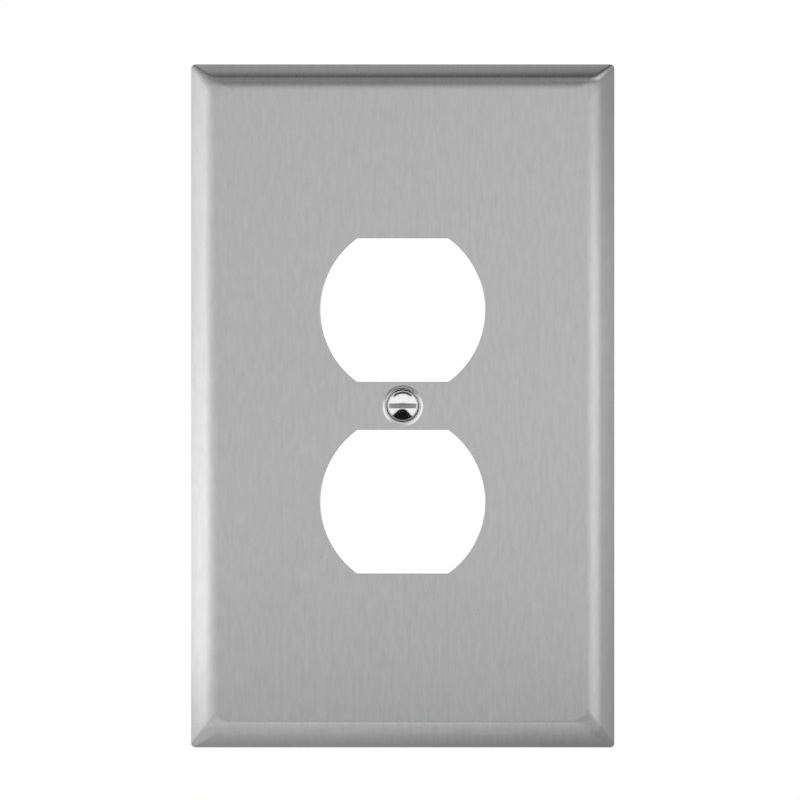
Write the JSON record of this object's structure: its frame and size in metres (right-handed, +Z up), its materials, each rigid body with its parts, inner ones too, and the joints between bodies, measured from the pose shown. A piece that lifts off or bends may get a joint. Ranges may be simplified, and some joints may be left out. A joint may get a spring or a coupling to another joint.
{
  "type": "wall plate cover",
  "caption": "Oversize one-gang metal wall plate with two outlet openings, a bevelled rim and a captive slotted screw that fastens it over a duplex receptacle.",
  "frame": {"origin": "on the screw's axis, in the wall plane that the rim rests against", "axes": "+Z up the plate as it hangs on the wall, the front faces -Y, +Y goes into the wall, +X is to the right seen from the front"},
  "size_m": [0.0866, 0.0137, 0.1396],
  "materials": {
    "brushed_stainless": "brushed vertically",
    "polished_steel": "polished",
    "natural_nylon": "satin"
  },
  "bodies": {
    "plate": {"cover_plate": "brushed_stainless"},
    "washer": {"retaining_washer": "natural_nylon"},
    "screw": {"mounting_screw": "polished_steel"}
  },
  "joints": [
    {"name": "screw_travel", "type": "slide", "parent": "plate", "child": "washer", "axis": [0, -1, 0], "range_m": [0, 0.00238]},
    {"name": "screw_turn", "type": "hinge", "parent": "washer", "child": "screw", "pos_m": [0, 0, 0], "axis": [0, -1, 0], "range_deg": [0, 1080]}
  ],
  "couplings": [
    {"joint": "screw_turn", "follows": "screw_travel", "rad_per_m": 7915.8}
  ]
}
